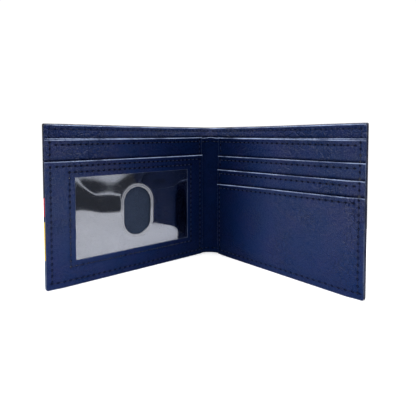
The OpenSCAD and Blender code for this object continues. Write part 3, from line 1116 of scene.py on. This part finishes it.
def slot_distance(s, z, centre):
    """Distance out from the thumb slot's round-ended outline."""
    width, height = THUMB_SLOT
    up = np.maximum(np.abs(z - centre[1]) - (height - width) / 2, 0)
    return np.hypot(s - centre[0], up) - width / 2


def film_waves(s, z, centre):
    """How far the film stands off its flat place."""
    (s0, z0), (s1, z1) = WINDOW["low"], WINDOW["high"]
    held = smooth(np.minimum(np.minimum(s - s0, s1 - s), np.minimum(z - z0, z1 - z)), -1.0, 13.0)
    u, v = np.clip((s - s0) / (s1 - s0), 0, 1), np.clip((z - z0) / (z1 - z0), 0, 1)
    crest = 1 - 0.7 * smooth(u, 0.22, 0.8)
    swell = 1.0 * crest * np.sin(math.pi * v)
    waves = 0.15 * np.sin(5.1 * u + 2.6 * v + 0.4) * np.cos(3.3 * v - 1.2 * u)
    waves = waves + 0.06 * np.sin(11.0 * u - 4.0 * v + 1.0) + 0.05 * np.sin(9.0 * v + 6.0 * u)
    flat_rim = 0.45 + 0.55 * smooth(slot_distance(s, z, centre), 1.0, 9.0)
    return held * (swell + waves * flat_rim) + 0.03


def rim_ridges(distance):
    """0 to 1 over the two welded ridges round the slot."""
    return sum(np.exp(-(((distance - at) / 0.42) ** 2)) for at in RIM_RIDGES)


def ray_to_box(angle, half_width, half_height):
    reach_x = half_width / np.maximum(np.abs(np.cos(angle)), 1e-9)
    reach_z = half_height / np.maximum(np.abs(np.sin(angle)), 1e-9)
    return np.minimum(reach_x, reach_z)


def ray_to_slot(angle):
    """Distance from the middle of a round-ended slot to its outline, along each direction."""
    width, height = THUMB_SLOT
    radius, straight = width / 2, (height - width) / 2
    c, s = np.abs(np.cos(angle)), np.abs(np.sin(angle))
    side = radius / np.maximum(c, 1e-9)
    root = np.sqrt(np.maximum(radius ** 2 - (straight * c) ** 2, 0))
    return np.where(side * s <= straight, side, straight * s + root)


def make_film():
    (s0, z0), (s1, z1) = WINDOW["low"], WINDOW["high"]
    centre = ((s0 + s1) / 2, (z0 + z1) / 2)
    half_width, half_height = (s1 - s0) / 2 + FILM_REACH, (z1 - z0) / 2 + FILM_REACH
    corner = math.atan2(half_height, half_width)
    quarter = np.concatenate([np.linspace(-corner, corner, 40, endpoint=False),
                              np.linspace(corner, math.pi - corner, 48, endpoint=False)])
    angle = np.concatenate([quarter, quarter + math.pi])
    inner, outer = ray_to_slot(angle), ray_to_box(angle, half_width, half_height)
    near = np.array([0, 0.25, 0.5, 0.75, 1.0, 1.25, 1.5, 1.75, 2.0, 2.3, 2.8])
    far = np.linspace(0, 1, 30)[1:]
    reach = np.concatenate([inner[:, None] + near, inner[:, None] + near[-1]
                            + far * (outer - inner - near[-1])[:, None]], axis=1)
    s = centre[0] + reach * np.cos(angle)[:, None]
    z = centre[1] + reach * np.sin(angle)[:, None]
    ridges = rim_ridges(slot_distance(s, z, centre))
    lift = film_waves(s, z, centre) + 0.13 * ridges
    depth = np.stack([FILM[1] + lift, FILM[0] + lift])
    depth[0, :, 0] = depth[1, :, 0] = (FILM[0] + FILM[1]) / 2 + lift[:, 0]
    depth[0, :, -1] = depth[1, :, -1] = (FILM[0] + FILM[1]) / 2 + lift[:, -1]
    t = place_t(s)
    points = np.stack([stand(LEFT, t, settle(t, z, d), z) for d in depth])
    lie = np.stack([np.stack([-t, z, d], -1) for d in depth])
    index = np.arange(points[..., 0].size).reshape(points.shape[:3])
    quads = []
    for i in range(len(angle)):
        j = (i + 1) % len(angle)
        for k in range(reach.shape[1] - 1):
            for face in (0, 1):
                ring = [index[face, i, k], index[face, j, k],
                        index[face, j, k + 1], index[face, i, k + 1]]
                quads.append(ring if face else ring[::-1])
    skin = skin_mesh("id_window_film", points.reshape(-1, 3), quads, lie=lie.reshape(-1, 3) * MM,
                     edge_wear_and_highlight=np.stack([ridges, ridges]).reshape(-1))
    film = dress(skin, vinyl, "clear_film", "window_film")
    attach(film, "left_half")
    width, height = THUMB_SLOT
    slot_area = width * (height - width) + math.pi * (width / 2) ** 2
    metres(2 * half_width, 2 * half_height)
    (4 * half_width * half_height - slot_area) * MM * MM


make_film()

# %% [markdown]
# ## The right half: four stepped card pockets
# The card pockets stand one behind the other, each lower than the last.  Only a band of each
# shows, so a maker cuts the first three as strips of leather and hangs a bag of thin cloth
# behind each.  Four separate sheets could be drawn, but one function with the place in the row
# keeps their seams in line; the front one is full height and sewn at its foot too.

# %% Card pockets and their cloth
CARD_PITCH = 3.8
CARD_SIDE_PITCH = 3.6
BAND = 18.0
LINER_DEPTH = 50.0
CARD_SAGS = ((0.5, -0.5), (-0.4, -0.1), (-0.7, 0.0), (-1.9, 0.6))


def make_card_pocket(place, edge_runs, pocket_runs):
    top, step_in = CARD_TOPS[place - 1], (place - 1) * CARD_STEP
    front_most = place == len(CARD_TOPS)
    foot = 0.0 if front_most else top - BAND
    places = holes(GUTTER_SEAM, SIDE_SEAM - CARD_PITCH * 0.7, CARD_PITCH)
    step = places[1] - places[0]
    low = SEAM_EDGE if front_most else CARD_TOPS[place] + 1.0
    seams = [level_seam(top - SEAM_TOP, places),
             upright_seam(SIDE_SEAM, holes(low, top - 1.2, CARD_SIDE_PITCH)),
             upright_seam(GUTTER_SEAM, holes(low + step * 0.5, top - 1.2, CARD_SIDE_PITCH))]
    tuck = None
    if front_most:
        seams.append(level_seam(SEAM_EDGE, np.append(places, places[-1] + step)))
    else:
        tuck = (CARD_TOPS[place], sag(*CARD_SAGS[place], CARD_TOPS[place]))
    sheet = Sheet(RIGHT, POCKET_SPAN, (foot, top), (SLIP[0] + step_in, SLIP[1] + step_in),
                  seams=tuple(seams), hems=(BEAD, ("top", 7.0, 0.12)),
                  round_foot=CORNER if front_most else 0, rim=SHEET_RIM,
                  arch=sag(*CARD_SAGS[place - 1], top), tuck=tuck)
    lay(sheet, f"card_pocket_leather_{place}", leather, "navy_leather", (f"card_pocket_{place}",))
    edge_runs += [seam_run(sheet, seam) for seam in (seams[1], *seams[3:])]
    pocket_runs += [seam_run(sheet, seam) for seam in (seams[0], seams[2])]


def make_card_liner(place):
    top = CARD_TOPS[place - 1]
    back = SLIP[0] + (place - 1) * CARD_STEP - LINER_THICK
    sheet = Sheet(RIGHT, (POCKET_SPAN[0] + 1, POCKET_SPAN[1] - 1), (top - LINER_DEPTH, top - 6),
                  (back, back + LINER_THICK * 0.8), rim=0.1, coarse=4.0)
    lay(sheet, f"liner_cloth_{place}", liner_cloth, "liner_cloth", (f"card_liner_{place}",))


edge_runs, pocket_runs = [], []
for place in (1, 2, 3, 4):
    make_card_pocket(place, edge_runs, pocket_runs)
for place in (1, 2, 3):
    make_card_liner(place)
sew("edge_stitches_right", edge_runs, RIGHT, "edge_stitching_right")
sew("pocket_stitches_right", pocket_runs, RIGHT, "pocket_stitching_right")

# %% [markdown]
# ## Stage, light and camera
# A white table ends a little way behind the camera, so that a glossy film mirrors the table in
# its lower part and the dark room above it, with a lamp and a far wall.  The camera itself sees
# white.  One broad soft light overhead draws a bright line along every turned edge.

# %% Table
TABLE = {"x": (-0.24, 0.137), "y": (-0.19, 0.30)}


def make_stage():
    finish, wiring = new_finish("white_table")
    close_finish(wiring, {
        "Base Color": (0.88, 0.88, 0.89, 1), "Roughness": 0.6, "Specular IOR Level": 0.2,
        "Emission Color": (1, 1, 1, 1), "Emission Strength": 0.30})
    (x0, x1), (y0, y1) = TABLE["x"], TABLE["y"]
    mesh = bpy.data.meshes.new("table")
    mesh.from_pydata([(x0, y0, 0), (x1, y0, 0), (x1, y1, 0), (x0, y1, 0)], [], [(0, 1, 2, 3)])
    mesh.materials.append(finish)
    table = bpy.data.objects.new("table", mesh)
    table.location.z = -0.0002
    scene.collection.objects.link(table)


make_stage()
print("table from", [low for low, _ in TABLE.values()], "to", [high for _, high in TABLE.values()])


# %% Room
def make_room():
    """White where the camera looks past the wallet, and a dark room in the reflections."""
    world = bpy.data.worlds.new("dark_room")
    world.use_nodes = True
    world.node_tree.nodes.clear()
    wiring = Wiring(world.node_tree)
    direct = wiring.add("ShaderNodeLightPath", output="Is Camera Ray")
    aim = wiring.add("ShaderNodeTexCoord", output="Generated")
    across, level, up = (wiring.axis(aim, number) for number in range(3))
    smears = wiring.ramp(wiring.noise(aim, 1 / 9.0, 3.0, 0.6), 0.35, 0.7)
    far_wall = wiring.ramp(up, -0.070, 0.0) * (1 - wiring.ramp(up, 0.06, 0.26)) * smears * 0.62
    lamp = wiring.ramp(up, -0.110, -0.104) * (1 - wiring.ramp(up, -0.098, -0.088))
    lamp = lamp * (1 - wiring.ramp(level, -0.30, -0.24)) * wiring.ramp(across, 0.3, 0.5) * 1.7
    glow = wiring.add("ShaderNodeBackground", {"Color": (0.92, 0.95, 1.0, 1),
                                               "Strength": far_wall + lamp + 0.10})
    white = wiring.add("ShaderNodeBackground", {"Color": (1, 1, 1, 1), "Strength": 1.05})
    shown = wiring.add("ShaderNodeMixShader", {0: direct, 1: glow, 2: white})
    wiring.add("ShaderNodeOutputWorld", {"Surface": shown})
    scene.world = world
    scene.view_settings.view_transform = "Standard"
    scene.view_settings.look = "None"


make_room()
print("room:", scene.world.name)


# %% Light
def make_softbox(name, watts, size, at, aim=(0.0, 0.0, 0.045)):
    """A square soft light that faces the wallet."""
    light = bpy.data.lights.new(name, "AREA")
    light.energy, light.shape, light.size = watts, "SQUARE", size
    lamp = bpy.data.objects.new(name, light)
    lamp.location = at
    lamp.rotation_euler = (Vector(aim) - Vector(at)).to_track_quat("-Z", "Y").to_euler()
    scene.collection.objects.link(lamp)


make_softbox("overhead", 14.0, 0.9, (-0.03, -0.05, 0.66))
print("lights:", [light.name for light in bpy.data.lights])

# %% Camera
CAMERA_AT = (0.01886, -0.28093, 0.08370)
CAMERA_DOWN = 2.632
CAMERA_TURN = 4.225
CAMERA_LENS = 33.87
CAMERA_SHIFT = -0.1293
eye = bpy.data.cameras.new("camera")
eye.lens, eye.sensor_width = CAMERA_LENS, 36.0
eye.clip_start, eye.clip_end = 0.01, 100.0
eye.shift_y = CAMERA_SHIFT
camera = bpy.data.objects.new("camera", eye)
camera.location = CAMERA_AT
camera.rotation_euler = (math.radians(90 - CAMERA_DOWN), 0, math.radians(CAMERA_TURN))
scene.collection.objects.link(camera)
scene.camera = camera
print("camera at", CAMERA_AT, "with a", CAMERA_LENS, "mm lens")
